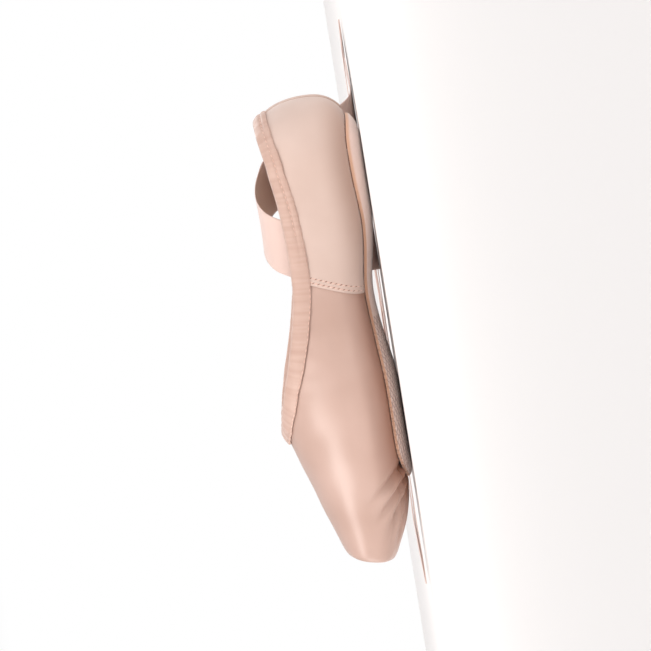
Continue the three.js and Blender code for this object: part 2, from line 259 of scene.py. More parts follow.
# Cotton drill: a dull twill that lines the shoe.
def makeCotton(name, base, shade):
    twillMm = 0.8
    material, tree, surface = startMaterial(name, {
        "Roughness": 0.85, "Specular IOR Level": 0.2, "Sheen Weight": 0.2,
    })
    place = addNode(tree, "ShaderNodeTexCoord").outputs["Object"]
    turned = addNode(tree, "ShaderNodeMapping", {"Rotation": (0, 0, math.radians(45))}, {"Vector": place})
    twill = addNode(tree, "ShaderNodeTexWave", {"Scale": waveRepeat / (twillMm * mm), "Distortion": 1.5,
                                                "Detail": 2.0}, {"Vector": turned.outputs[0]})
    tone = addNode(tree, "ShaderNodeValToRGB", {"stops": [(0.0, shade), (1.0, base)]},
                   {"Fac": twill.outputs["Fac"]}).outputs["Color"]
    tree.links.new(tone, surface.inputs["Base Color"])
    bump = addNode(tree, "ShaderNodeBump", {"Strength": 0.2, "Distance": 0.2 * mm},
                   {"Height": twill.outputs["Fac"]})
    tree.links.new(bump.outputs[0], surface.inputs["Normal"])
    return material


# The lattice pressed into the sole: its diamonds' length and width and where it starts, in millimetres.
lattice = {"long": 4.6, "wide": 2.7, "from": 108}


# Suede split: brushed leather with no shine, pressed under the forefoot with a lattice for grip.
def makeSuede():
    looks = {"nap": "#EAD2C8", "deep": "#B08E83", "cutEdge": "#D6A98E"}
    material, tree, surface = startMaterial("suedeSplit", {
        "Roughness": 0.92, "Specular IOR Level": 0.15, "Sheen Weight": 0.5, "Sheen Roughness": 0.6,
    })
    place = addNode(tree, "ShaderNodeTexCoord").outputs["Object"]
    xyz = addNode(tree, "ShaderNodeSeparateXYZ", links={"Vector": place}).outputs
    # Half a diamond further along, so that each line of the lattice falls where it is pressed in. The lines
    # are coloured dark there: partly the pressed nap's own darker colour, partly painted shade in the
    # grooves.
    start = heelBack - lattice["long"] / 2 * mm
    along = addNode(tree, "ShaderNodeMath", {"operation": "SUBTRACT", 1: start}, {0: xyz["X"]})
    alongShare = addNode(tree, "ShaderNodeMath", {"operation": "DIVIDE", 1: lattice["long"] * mm},
                         {0: along.outputs[0]})
    aside = addNode(tree, "ShaderNodeMath", {"operation": "DIVIDE", 1: lattice["wide"] * mm}, {0: xyz["Y"]})
    lines = []
    for operation in ("ADD", "SUBTRACT"):
        phase = addNode(tree, "ShaderNodeMath", {"operation": operation},
                        {0: alongShare.outputs[0], 1: aside.outputs[0]})
        part = addNode(tree, "ShaderNodeMath", {"operation": "FRACT"}, {0: phase.outputs[0]})
        centred = addNode(tree, "ShaderNodeMath", {"operation": "SUBTRACT", 1: 0.5}, {0: part.outputs[0]})
        line = addNode(tree, "ShaderNodeMath", {"operation": "ABSOLUTE"}, {0: centred.outputs[0]})
        lines.append(line.outputs[0])
    nearest = addNode(tree, "ShaderNodeMath", {"operation": "MINIMUM"}, {0: lines[0], 1: lines[1]})
    steep = addNode(tree, "ShaderNodeMath", {"operation": "MULTIPLY", 1: 5.0}, {0: nearest.outputs[0]})
    cut = addNode(tree, "ShaderNodeMath", {"operation": "MINIMUM", 1: 1.0}, {0: steep.outputs[0]})
    behind = addNode(tree, "ShaderNodeMath", {"operation": "LESS_THAN", 1: alongShoe(lattice["from"])},
                     {0: xyz["X"]})
    groove = addNode(tree, "ShaderNodeMath", {"operation": "MAXIMUM"},
                     {0: cut.outputs[0], 1: behind.outputs[0]})
    nap = addNode(tree, "ShaderNodeTexNoise", {"Scale": 420.0, "Detail": 4.0}, {"Vector": place})
    napShade = addNode(tree, "ShaderNodeMath", {"operation": "MULTIPLY", 1: 0.4}, {0: nap.outputs["Fac"]})
    shade = addNode(tree, "ShaderNodeMath", {"operation": "MULTIPLY_ADD", 1: 0.72},
                    {0: groove.outputs[0], 2: napShade.outputs[0]})
    tone = addNode(tree, "ShaderNodeValToRGB", {"stops": [(0.2, looks["deep"]), (0.9, looks["nap"])]},
                   {"Fac": shade.outputs[0]})
    edge = addNode(tree, "ShaderNodeAttribute", {"attribute_name": "cutEdge"})
    mix = addNode(tree, "ShaderNodeMix", {"data_type": "RGBA", 7: linearColour(looks["cutEdge"])},
                  {0: edge.outputs["Fac"], 6: tone.outputs["Color"]})
    tree.links.new(mix.outputs[2], surface.inputs["Base Color"])
    height = addNode(tree, "ShaderNodeMath", {"operation": "MULTIPLY_ADD", 1: 0.25},
                     {0: nap.outputs["Fac"], 2: groove.outputs[0]})
    bump = addNode(tree, "ShaderNodeBump", {"Strength": 0.7, "Distance": 0.6 * mm},
                   {"Height": height.outputs[0]})
    tree.links.new(bump.outputs[0], surface.inputs["Normal"])
    return material


# Woven nylon ribbon: fine ribs run across it, with a plain matte face.
def makeRibbonWeave():
    looks = {"base": "#DDC3B9", "rib": "#D8BDB2", "ribMm": 0.6}
    material, tree, surface = startMaterial("wovenRibbon", {
        "Roughness": 0.6, "Specular IOR Level": 0.35, "Sheen Weight": 0.3, "Sheen Roughness": 0.4,
    })
    route = addNode(tree, "ShaderNodeUVMap", {"uv_map": "run"}).outputs[0]
    ribs = addNode(tree, "ShaderNodeTexWave", {"Scale": waveRepeat / (looks["ribMm"] * mm),
                                               "Distortion": 0.3}, {"Vector": route})
    tone = addNode(tree, "ShaderNodeValToRGB", {"stops": [(0.0, looks["rib"]), (0.8, looks["base"])]},
                   {"Fac": ribs.outputs["Fac"]}).outputs["Color"]
    tree.links.new(tone, surface.inputs["Base Color"])
    bump = addNode(tree, "ShaderNodeBump", {"Strength": 0.12, "Distance": 0.15 * mm},
                   {"Height": ribs.outputs["Fac"]})
    tree.links.new(bump.outputs[0], surface.inputs["Normal"])
    return material


# Spun polyester thread: twisted plies with a slight shine.
def makeThread():
    material, tree, surface = startMaterial("spunThread", {"Roughness": 0.5, "Sheen Weight": 0.3})
    place = addNode(tree, "ShaderNodeTexCoord").outputs["Object"]
    ply = addNode(tree, "ShaderNodeTexNoise", {"Scale": 900.0}, {"Vector": place}).outputs["Fac"]
    tone = addNode(tree, "ShaderNodeValToRGB", {"stops": [(0.3, "#D5AB99"), (0.7, "#E5C4B5")]},
                   {"Fac": ply}).outputs["Color"]
    tree.links.new(tone, surface.inputs["Base Color"])
    return material


# Needle holes: small dark pods of painted shade, standing in for the shade inside each hole where the cloth
# is pushed down.
def makeHoleShade():
    material, tree, surface = startMaterial("needleHoleShade", {"Roughness": 0.9, "Specular IOR Level": 0.1})
    place = addNode(tree, "ShaderNodeTexCoord").outputs["Object"]
    shade = addNode(tree, "ShaderNodeTexNoise", {"Scale": 300.0}, {"Vector": place}).outputs["Fac"]
    tone = addNode(tree, "ShaderNodeValToRGB", {"stops": [(0.3, "#8A5F50"), (0.7, "#A87A69")]},
                   {"Fac": shade}).outputs["Color"]
    tree.links.new(tone, surface.inputs["Base Color"])
    return material


satin = makeSatin()
stretchSatin = makeStretchSatin()
biasTape = makeBiasTape()
liningCotton = makeCotton("cottonDrill", "#E6D6C8", "#D6C3B3")
insoleCotton = makeCotton("cottonInsole", "#D9C7B6", "#C9B5A3")
suede = makeSuede()
ribbonWeave = makeRibbonWeave()
thread = makeThread()
needleHoleShade = makeHoleShade()
print("materials made")


def makeCamera():
    view = {"aimAlong": 111, "aimHeight": 31 * mm, "distance": 1.75, "lens": 200.0,
            "behind": 8.6, "toeDown": 9.0, "height": 12 * mm}
    target = Vector((alongShoe(view["aimAlong"]), 0, view["aimHeight"]))
    heading = math.radians(view["behind"])
    forward = Vector((math.sin(heading), -math.cos(heading), 0))
    toeward = Vector((math.cos(heading), math.sin(heading), 0))
    roll = math.radians(view["toeDown"])
    right = toeward * math.sin(roll) - Vector((0, 0, 1)) * math.cos(roll)
    up = -toeward * math.cos(roll) - Vector((0, 0, 1)) * math.sin(roll)
    place = target - forward * view["distance"]
    place.z = view["height"]
    look = (target - place).normalized()
    right = (right - look * right.dot(look)).normalized()
    up = right.cross(look)
    data = bpy.data.cameras.new("mainCamera")
    data.lens = view["lens"]
    data.sensor_width = 36
    data.clip_start = 0.01
    camera = bpy.data.objects.new("mainCamera", data)
    camera.matrix_world = Matrix.Translation(place) @ Matrix((right, up, -look)).transposed().to_4x4()
    bpy.context.scene.collection.objects.link(camera)
    bpy.context.scene.camera = camera


def aimLight(name, kind, place, target, strength, colour, **settings):
    data = bpy.data.lights.new(name, kind)
    data.energy = strength
    data.color = linearColour(colour)[:3]
    for key, value in settings.items():
        setattr(data, key, value)
    light = bpy.data.objects.new(name, data)
    aim = (Vector(target) - Vector(place)).to_track_quat("-Z", "Y")
    light.matrix_world = Matrix.Translation(place) @ aim.to_matrix().to_4x4()
    bpy.context.scene.collection.objects.link(light)


def makeStudio():
    floorSize = 3
    floor = newPiece("floor", [(-floorSize, -floorSize, 0), (floorSize, -floorSize, 0),
                               (floorSize, floorSize, 0), (-floorSize, floorSize, 0)], [(0, 1, 2, 3)])
    material, _, surface = startMaterial("paleFloor", {"Roughness": 0.8, "Specular IOR Level": 0.1})
    surface.inputs["Base Color"].default_value = linearColour("#F4F1EF")
    floor.data.materials.append(material)
    middle = (alongShoe(110), 0, 0.03)
    aimLight("stripBox", "AREA", (0.33, 0.72, 0.82), middle, 7.0, "#FFF9F5",
             shape="RECTANGLE", size=1.3, size_y=0.5)
    aimLight("keySky", "SUN", (0.55, 0.42, 0.72), (0, 0, 0), 0.5, "#FFFCFA", angle=math.radians(24))
    aimLight("heelSky", "SUN", (-0.85, 0.42, 0.42), (0, 0, 0), 1.2, "#FFFDFC", angle=math.radians(30))
    aimLight("toeSky", "SUN", (0.95, 0.2, 0.25), (0, 0, 0), 0.85, "#FFFDFC", angle=math.radians(30))
    aimLight("backSky", "SUN", (-0.3, -0.8, 0.6), (0, 0, 0), 0.8, "#FFFFFF", angle=math.radians(30))
    world = bpy.data.worlds.new("studioAir")
    world.use_nodes = True
    tree = world.node_tree
    direction = addNode(tree, "ShaderNodeTexCoord").outputs["Generated"]
    height = addNode(tree, "ShaderNodeSeparateXYZ", links={"Vector": direction}).outputs["Z"]
    # White low down, where it is the backdrop, and dimmer above, so that the satin shades off.
    stops = [(0.0, "#FFFFFF"), (0.11, "#FFFFFF"), (0.22, "#8E8E90"), (0.6, "#B4B4B6"), (1.0, "#C6C6C8")]
    air = addNode(tree, "ShaderNodeValToRGB", {"stops": stops}, {"Fac": height}).outputs["Color"]
    tree.links.new(air, tree.nodes["Background"].inputs["Color"])
    tree.nodes["Background"].inputs["Strength"].default_value = 1.0
    bpy.context.scene.world = world
    bpy.context.scene.view_settings.view_transform = "Standard"


for leftover in [o for o in bpy.data.objects if o.name in ("Cube", "Light", "Camera")]:
    bpy.data.objects.remove(leftover)
makeCamera()
makeStudio()
print("camera and studio made")


# Every shell came as rings of points. Following the rings again gives clean quads to work on.
def readRings(nodeName, ringCount, firstOfRing):
    shell = bmesh.new()
    shell.from_mesh(frame["nodes"][nodeName].data)
    bmesh.ops.remove_doubles(shell, verts=shell.verts, dist=0.001 * mm)
    shell.verts.index_update()
    third = {}
    for face in shell.faces:
        a, b, c = (v.index for v in face.verts)
        third[a, b], third[b, c], third[c, a] = c, a, b
    places = np.array([v.co for v in shell.verts])
    joined = [[e.other_vert(v).index for e in v.link_edges] for v in shell.verts]
    shell.free()
    ring = firstOfRing(places, joined)
    if third[ring[0], ring[1]] in ring:
        ring.reverse()
    rings = [ring]
    while len(rings) < ringCount and third[ring[0], ring[1]] not in ring:
        ring = [third[ring[j - 1], ring[j]] for j in range(len(ring))]
        rings.append(ring)
    return places[np.array(rings)]


# The ring on the centre line at the heel, from its lowest point and then backwards.
def heelRing(places, joined):
    ring = [i for i in range(len(places))
            if abs(places[i][1]) < 0.001 * mm and places[i][0] < alongShoe(60)]
    walk = [min(ring, key=lambda i: places[i][2])]
    ahead = min((n for n in joined[walk[0]] if n in ring), key=lambda i: places[i][0])
    while ahead is not None:
        walk.append(ahead)
        ahead = next((n for n in joined[ahead] if n in ring and n not in walk), None)
    return walk


# One end of a ribbon: its four corners have fewer neighbours than the rest.
def ribbonEnd(places, joined):
    corners = [i for i in range(len(places)) if len(joined[i]) <= 5]
    first = max(corners, key=lambda i: places[i][1])
    near = sorted(corners, key=lambda i: np.linalg.norm(places[i] - places[first]))
    partner, across = near[1], near[2:4]
    across.sort(key=lambda i: np.linalg.norm(places[i] - places[partner]))
    return [first, partner, across[0], across[1]]


def doubleRings(grid, kept=None):
    middle = (9 * (grid + np.roll(grid, -1, 0)) - np.roll(grid, 1, 0) - np.roll(grid, -2, 0)) / 16
    doubled = np.stack([grid, middle], 1).reshape(-1, *grid.shape[1:])
    return doubled if kept is None else doubled[kept]


def gridPiece(name, grid, closed=True):
    count, size = grid.shape[:2]
    faces = []
    for i in range(count if closed else count - 1):
        ahead = (i + 1) % count
        for j in range(size):
            after = (j + 1) % size
            faces.append((i * size + j, i * size + after, ahead * size + after, ahead * size + j))
    return newPiece(name, grid.reshape(-1, 3), faces)


def addVertexValues(piece, name, values):
    attribute = piece.data.attributes.new(name, "FLOAT", "POINT")
    attribute.data.foreach_set("value", np.asarray(values, dtype=float).ravel())


def treeOf(piece):
    return BVHTree.FromPolygons([v.co.copy() for v in piece.data.vertices],
                                [tuple(f.vertices) for f in piece.data.polygons])


def nearestOn(tree, places):
    found = [tree.find_nearest(Vector(p)) for p in places]
    return np.array([f[0] for f in found]), np.array([f[3] for f in found])


outsoleLook = {"latticeDepth": 0.22, "latticeFade": 6, "sharpFrom": 50, "sharpness": 0.75}


def copyOfNode(name, nodeName):
    piece = frame["nodes"][nodeName].copy()
    piece.data = piece.data.copy()
    piece.name = name
    for key in list(piece.keys()):
        del piece[key]
    piece.parent = None
    piece.hide_render = False
    bpy.context.scene.collection.objects.link(piece)
    makeActive(piece)
    bpy.ops.object.mode_set(mode="EDIT")
    bpy.ops.mesh.select_all(action="SELECT")
    bpy.ops.mesh.remove_doubles(threshold=0.001 * mm)
    bpy.ops.mesh.tris_convert_to_quads(face_threshold=math.radians(40), shape_threshold=math.radians(60))
    bpy.ops.object.mode_set(mode="OBJECT")
    piece.data.materials.clear()
    return piece


def makeOutsole():
    look = outsoleLook
    piece = copyOfNode("outsolePiece", "outsole")
    edges = piece.data.attributes.new("crease_edge", "FLOAT", "EDGE")
    shell = bmesh.new()
    shell.from_mesh(piece.data)
    sharp = [e.calc_face_angle(0) > math.radians(look["sharpFrom"]) for e in shell.edges]
    shell.free()
    edges.data.foreach_set("value", [look["sharpness"] if s else 0.0 for s in sharp])
    subdivide(piece, 3)
    places, facing = points(piece), normals(piece)
    x, y = (places[:, 0] - heelBack) / mm, places[:, 1] / mm
    rim = 1 - ramp(0.35, 0.8, np.abs(facing[:, 2]))
    addVertexValues(piece, "cutEdge", rim)
    first, second = x / lattice["long"] + y / lattice["wide"], x / lattice["long"] - y / lattice["wide"]
    line = np.minimum(np.abs(first - np.round(first)), np.abs(second - np.round(second)))
    begun = ramp(lattice["from"] - look["latticeFade"], lattice["from"] + look["latticeFade"], x)
    pressed = (1 - ramp(0.05, 0.24, line)) * (facing[:, 2] < 0.2) * begun
    lowest = places[:, 2].min()
    places -= facing * (pressed * look["latticeDepth"] * mm)[:, None]
    places[:, 2] = np.maximum(places[:, 2], lowest)
    setPoints(piece, places)
    piece.data.materials.append(suede)
    smooth(piece)
    register(piece, "suede", "outsole")
    return piece


outsolePiece = makeOutsole()
outsoleTree = treeOf(outsolePiece)
print("outsole made")


def makeInsole():
    piece = copyOfNode("insolePiece", "insole")
    subdivide(piece, 2)
    piece.data.materials.append(insoleCotton)
    smooth(piece)
    register(piece, "lining", "insole")


makeInsole()
print("insole made")


# Pleats fan out from the front end of the sole. Each has a bearing there (0 is forwards, 90 sideways),
# a lean towards the front as it runs on, a length and a depth in millimetres.
pleats = [
    {"bearing": 62, "lean": 0.35, "length": 30, "depth": 0.7},
    {"bearing": 49, "lean": 0.7, "length": 40, "depth": 1.7},
    {"bearing": 38, "lean": 0.5, "length": 38, "depth": 1.35},
    {"bearing": 28, "lean": 0.3, "length": 42, "depth": 1.5},
    {"bearing": 18.5, "lean": 0.2, "length": 36, "depth": 1.4},
    {"bearing": 9.5, "lean": 0.1, "length": 30, "depth": 1.3},
    {"bearing": 0.5, "lean": 0.0, "length": 33, "depth": 1.35},
    {"bearing": -9, "lean": -0.1, "length": 30, "depth": 1.3},
    {"bearing": -18, "lean": -0.2, "length": 37, "depth": 1.3},
    {"bearing": -27.5, "lean": -0.35, "length": 40, "depth": 1.5},
    {"bearing": -38, "lean": -0.5, "length": 36, "depth": 1.3},
    {"bearing": -50, "lean": -0.7, "length": 39, "depth": 1.6},
    {"bearing": -63, "lean": -0.4, "length": 28, "depth": 0.65},
]
# Creases in the sides of the satin, from one point to another seen from the side: length along, height.
creases = [
    {"side": 1, "start": (178, 2), "end": (194, 23), "width": 1.9, "depth": 2.2},
    {"side": 1, "start": (184, 3), "end": (205, 21), "width": 1.6, "depth": 1.8},
    {"side": 1, "start": (189, 3), "end": (213, 17), "width": 1.4, "depth": 1.5},
    {"side": 1, "start": (193, 4), "end": (219, 13), "width": 1.2, "depth": 1.0},
    {"side": 1, "start": (99, 35), "end": (128, 21), "width": 3.2, "depth": 0.28},
    {"side": 1, "start": (104, 12), "end": (131, 19), "width": 2.8, "depth": 0.22},
    {"side": -1, "start": (177, 2), "end": (194, 22), "width": 2.1, "depth": 1.5},
    {"side": -1, "start": (185, 3), "end": (206, 20), "width": 1.8, "depth": 1.2},
    {"side": -1, "start": (191, 4), "end": (215, 16), "width": 1.6, "depth": 0.9},
    {"side": -1, "start": (101, 34), "end": (126, 24), "width": 3.0, "depth": 0.3},
]
# fanWidth is how wide a degree of the fan is at the sole, and fanGrowth what each millimetre away adds.
upperLook = {"rings": 72, "besideToe": (100, 189), "atToe": (120, 169), "rimToFirst": 1.3,
             "fanCentre": 166, "fanSpread": 1.25, "fanWidth": 0.42, "fanGrowth": 0.012, "pleatWidth": 5.5,
             "pleatsFrom": (150, 165), "unevenness": 0.16, "evenAtToe": (196, 216),
             "puckerDepth": 0.12, "puckerPitch": 8.5, "puckerTo": 140, "seamDip": 0.3}
seam = {"topAlong": 83, "topHeight": 43, "footAlong": 96.5, "footHeight": 8}
seamRun, seamDrop = seam["footAlong"] - seam["topAlong"], seam["topHeight"] - seam["footHeight"]
seamRows = (1.5, 3.5)  # how far behind the seam its two rows of stitches run


# How far a point lies in front of the side seam, in millimetres.
def beforeSeam(x, z):
    line = seam["topAlong"] + (seam["topHeight"] - z) * seamRun / seamDrop
    return (x - line) * seamDrop / math.hypot(seamRun, seamDrop)


def pleatHeights(distance, soleX, soleY):
    bearing = np.degrees(np.arctan2(soleY / upperLook["fanSpread"], soleX - upperLook["fanCentre"]))
    height = np.zeros(len(distance))
    for pleat in pleats:
        line = pleat["bearing"] - pleat["lean"] * distance
        width = upperLook["fanWidth"] + distance * upperLook["fanGrowth"]
        side = (bearing - line) * width / (upperLook["pleatWidth"] / 2)
        side = side * (1 if pleat["bearing"] > 0 else -1)
        fade = ramp(0.0, 1.5, distance) * (1 - ramp(pleat["length"] * 0.35, pleat["length"], distance))
        # A laid pleat: a steep drop behind its fold and a long gentle slope in front.
        fold = np.exp(-((side + 0.42) / 0.6) ** 2) * 0.6 - np.exp(-((side - 0.3) / 0.3) ** 2)
        height += pleat["depth"] * fade * fold
    return height


# A trough with a soft ridge on its lower side.
def creaseHeights(x, y, z):
    height = np.zeros(len(x))
    for crease in creases:
        (startX, startZ), (endX, endZ) = crease["start"], crease["end"]
        length = math.hypot(endX - startX, endZ - startZ)
        aheadX, aheadZ = (endX - startX) / length, (endZ - startZ) / length
        run = ((x - startX) * aheadX + (z - startZ) * aheadZ) / length
        aside = ((z - startZ) * aheadX - (x - startX) * aheadZ) / crease["width"]
        fade = ramp(-0.1, 0.25, run) * (1 - ramp(0.55, 1.1, run)) * ramp(6, 14, y * crease["side"])
        height += crease["depth"] * fade * (0.6 * np.exp(-((aside + 1.5) / 1.1) ** 2) - np.exp(-aside ** 2))
    return height


def makeUpper():
    look = upperLook
    grid = readRings("upper", look["rings"], heelRing)
    outerCount = grid.shape[1] // 2
    # Rings four times as close round the toe, where the pleats are, and twice as close beside it.
    allRound = range(0, 4 * look["rings"], 4)
    kept = sorted(set(allRound) | set(range(*look["besideToe"], 2)) | set(range(*look["atToe"])))
    grid = doubleRings(doubleRings(grid), kept)
    piece = gridPiece("upperPiece", grid)
    steps = np.linalg.norm(np.diff(grid[:, :outerCount], axis=1), axis=2)
    toTop = np.cumsum(steps[:, ::-1], axis=1)[:, ::-1]
    below = np.concatenate([toTop, np.zeros((len(grid), 1))], 1) / mm + look["rimToFirst"]
    depth = np.concatenate([below, below[:, ::-1]], 1)
    skin = np.tile(np.array([1.0] * outerCount + [0.0] * outerCount), (len(grid), 1))
    addVertexValues(piece, "depth", depth)
    addVertexValues(piece, "skin", skin)
    subdivide(piece, 2)
    places, facing = points(piece), normals(piece)
    depth, skin = vertexValues(piece, "depth"), vertexValues(piece, "skin")
    x, y, z = (places[:, 0] - heelBack) / mm, places[:, 1] / mm, places[:, 2] / mm
    nearest, distance = nearestOn(outsoleTree, places)
    distance = distance / mm
    soleX, soleY = (nearest[:, 0] - heelBack) / mm, nearest[:, 1] / mm
    height = pleatHeights(distance, soleX, soleY) * ramp(*look["pleatsFrom"], x) + creaseHeights(x, y, z)
    wave = np.sin(x / 7.3 + z / 11.0 + 0.6) * np.sin(y / 9.1 - z / 8.2)
    wave = wave + 0.6 * np.sin(x / 4.4 - z / 6.1 + y / 5.3)
    height += look["unevenness"] * wave * ramp(2, 9, distance) * (1 - ramp(*look["evenAtToe"], x))
    pucker = np.sin(x * 2 * math.pi / look["puckerPitch"] + 1.7 * np.sin(x / 13.0)) * (x < look["puckerTo"])
    height += look["puckerDepth"] * pucker * ramp(7, 11, depth) * (1 - ramp(12, 22, depth))
    ahead = beforeSeam(x, z)
    height -= look["seamDip"] * np.exp(-((ahead - 1.2) / 1.6) ** 2) * ramp(4, 8, distance)
    height *= skin
    places += facing * (height * mm)[:, None]
    setPoints(piece, places)
    addVertexValues(piece, "fromSole", distance)
    piece.data.materials.append(satin)
    piece.data.materials.append(liningCotton)
    centres = np.array([skin[list(f.vertices)].mean() for f in piece.data.polygons])
    piece.data.polygons.foreach_set("material_index", (centres < 0.5).astype(int))
    smooth(piece)
    register(piece, "satin", "upper")
    return piece


upperPiece = makeUpper()
print("upper made")


quarterLook = {"lift": 0.35, "foldWidth": 4.6, "foldLift": 0.3, "thickness": 0.5, "underBinding": 6.5,
               "clearOfSole": 0.32, "stitchGroove": 0.35}


def makeQuarters():
    look = quarterLook
    piece = upperPiece.copy()
    piece.data = upperPiece.data.copy()
    piece.name = "quarterPanels"
    for key in list(piece.keys()):
        del piece[key]
    piece.parent = None
    bpy.context.scene.collection.objects.link(piece)
    shell = bmesh.new()
    shell.from_mesh(piece.data)
    skin = shell.verts.layers.float["skin"]
    depth = shell.verts.layers.float["depth"]
    fromSole = shell.verts.layers.float["fromSole"]
    hidden = [f for f in shell.faces if min(v[skin] for v in f.verts) < 0.99
              or min(v[depth] for v in f.verts) < look["underBinding"]
              or min(v[fromSole] for v in f.verts) < look["clearOfSole"]]
    bmesh.ops.delete(shell, geom=hidden, context="FACES")
    seamTop = (alongShoe(seam["topAlong"]), 0, seam["topHeight"] * mm)
    bmesh.ops.bisect_plane(shell, geom=shell.verts[:] + shell.edges[:] + shell.faces[:], dist=0.01 * mm,
                           plane_co=seamTop, plane_no=(seamDrop, 0, seamRun), clear_outer=True)
    shell.to_mesh(piece.data)
    shell.free()
    piece.data.materials.clear()
    piece.data.materials.append(stretchSatin)
    piece.data.polygons.foreach_set("material_index", [0] * len(piece.data.polygons))
    places, facing = points(piece), normals(piece)
    x, y, z = (places[:, 0] - heelBack) / mm, places[:, 1] / mm, places[:, 2] / mm
    nearness = vertexValues(piece, "fromSole")
    depth = vertexValues(piece, "depth")
    behind = -beforeSeam(x, z)
    edgeFade = ramp(0.3, 3.0, nearness) * ramp(look["underBinding"], look["underBinding"] + 2.5, depth)
    fold = 1 - ramp(look["foldWidth"] - 0.5, look["foldWidth"] + 0.5, behind)
    fold = fold * (0.55 + 0.45 * ramp(0, 0.8, behind))
    stitched = sum(np.exp(-((behind - row) / look["stitchGroove"]) ** 2) for row in seamRows)
    height = look["lift"] * (0.25 + 0.75 * edgeFade)
    height += edgeFade * look["foldLift"] * (fold - 0.5 * stitched * fold)
    places += facing * (height * mm)[:, None]
    setPoints(piece, places)
    applyModifier(piece, "SOLIDIFY", thickness=look["thickness"] * mm, offset=-1.0)
    smooth(piece)
    register(piece, "satin")
    return piece


quarterPanels = makeQuarters()
quarterTree = treeOf(quarterPanels)
print("quarters made")


bindingLook = {"creaseAt": 0.6, "creaseDepth": 0.5, "creaseFadeFrom": 48, "creaseFadeTo": 84,
               "rearLift": 0.35, "gather": 0.16, "gathersRound": 62, "swellsRound": 23, "middleAlong": 80,
               "notchDepth": 0.77, "notchWidth": 3.0, "throatAlong": 130, "outerColumns": 10,
               "columnWidth": 0.5}


def makeBinding():
    look = bindingLook
    grid = readRings("binding", upperLook["rings"], heelRing)
    outermost = int(np.argmin(grid[0, :, 0]))
    grid = np.roll(grid, 1 - outermost, axis=1)
    grid = doubleRings(grid)
    grid = doubleRings(grid.transpose(1, 0, 2)).transpose(1, 0, 2)
    piece = gridPiece("bindingPiece", grid)
    count, size = grid.shape[:2]
    columns = look["outerColumns"]
    share = np.zeros(size)
    # One at the lower edge of the outer face, and almost none at its top.
    share[:columns - 1] = np.linspace(1.0, 0.06, columns - 1)
    addVertexValues(piece, "down", np.tile(share, (count, 1)))
    outer = np.zeros(size)
    outer[:columns] = 1
    addVertexValues(piece, "outer", np.tile(outer, (count, 1)))
    strides = np.linalg.norm(grid[:, 2] - np.roll(grid[:, 2], -1, 0), axis=1)
    arrived = np.concatenate([[0], np.cumsum(strides)])
    uvs = piece.data.uv_layers.new(name="run")
    flat = []
    for i in range(count):
        for j in range(size):
            near, far = j * look["columnWidth"] * mm, (j + 1) * look["columnWidth"] * mm
            flat += [arrived[i], near, arrived[i], far, arrived[i + 1], far, arrived[i + 1], near]
    uvs.data.foreach_set("uv", flat)
    subdivide(piece, 2)
    places, facing = points(piece), normals(piece)
    down, outer = vertexValues(piece, "down"), vertexValues(piece, "outer")
    x, y, z = (places[:, 0] - heelBack) / mm, places[:, 1] / mm, places[:, 2] / mm
    fadeOut = 1 - ramp(look["creaseFadeFrom"], look["creaseFadeTo"], x)
    height = -look["creaseDepth"] * fadeOut * np.exp(-((down - look["creaseAt"]) / 0.055) ** 2) * outer
    rear = 1 - ramp(-1.0, 1.0, beforeSeam(x, z))
    height += look["rearLift"] * rear * outer * ramp(0.02, 0.25, down)
    turn = np.arctan2(y, x - look["middleAlong"])
    gathers = np.sin(turn * look["gathersRound"] + 2.5 * np.sin(turn * 5))
    gathers = gathers * np.sin(turn * look["swellsRound"] + 1)
    height += look["gather"] * gathers * ramp(0.05, 0.3, down + (1 - outer) * 0.5)
    places += facing * (height * mm)[:, None]
    throat = np.exp(-(y / look["notchWidth"]) ** 2) * (x > look["throatAlong"])
    throat = throat * ramp(0.75, 0.1, down * outer)
    places[:, 0] += throat * look["notchDepth"] * mm
    setPoints(piece, places)
    piece.data.materials.append(biasTape)
    smooth(piece)
    register(piece, "tape", "binding")
    return piece, grid


bindingPiece, bindingGrid = makeBinding()
bindingTree = treeOf(bindingPiece)
print("binding made")


# One stitch is a small pod of thread. Its copies lie along the given spots as one mesh.
def makeStitches(name, spots, facings, directions, length, width, height, material, slot):
    sections = [(-1, 0.05), (-0.62, 0.8), (0, 1.0), (0.62, 0.8), (1, 0.05)]
    sides = 6
    vertices, faces = [], []
    for spot, facing, direction in zip(spots, facings, directions):
        facing = Vector(facing).normalized()
        direction = Vector(direction)
        direction = (direction - facing * direction.dot(facing)).normalized()
        across = facing.cross(direction)
        base = len(vertices)
        for place, swell in sections:
            for k in range(sides):
                angle = 2 * math.pi * k / sides
                vertices.append(Vector(spot) + direction * (place * length / 2)
                                + across * (math.cos(angle) * swell * width / 2)
                                + facing * (math.sin(angle) * swell * height / 2))
        for i in range(len(sections) - 1):
            for k in range(sides):
                a, b = base + i * sides + k, base + i * sides + (k + 1) % sides
                faces.append((a, b, b + sides, a + sides))
        faces.append(tuple(base + k for k in reversed(range(sides))))
        faces.append(tuple(base + (len(sections) - 1) * sides + k for k in range(sides)))
    piece = newPiece(name, vertices, faces)
    makeActive(piece)
    bpy.ops.object.mode_set(mode="EDIT")
    bpy.ops.mesh.select_all(action="SELECT")
    bpy.ops.mesh.normals_make_consistent(inside=False)
    bpy.ops.object.mode_set(mode="OBJECT")
    piece.data.materials.append(material)
    smooth(piece)
    register(piece, slot)


seamStitch = {"pitch": 2.3, "length": 1.7, "width": 0.5, "height": 0.34, "slant": 38, "from": 9.0, "to": 35.0,
              "rowShift": 0.4, "holeLength": 1.5, "holeWidth": 0.42, "holeHeight": 0.16}


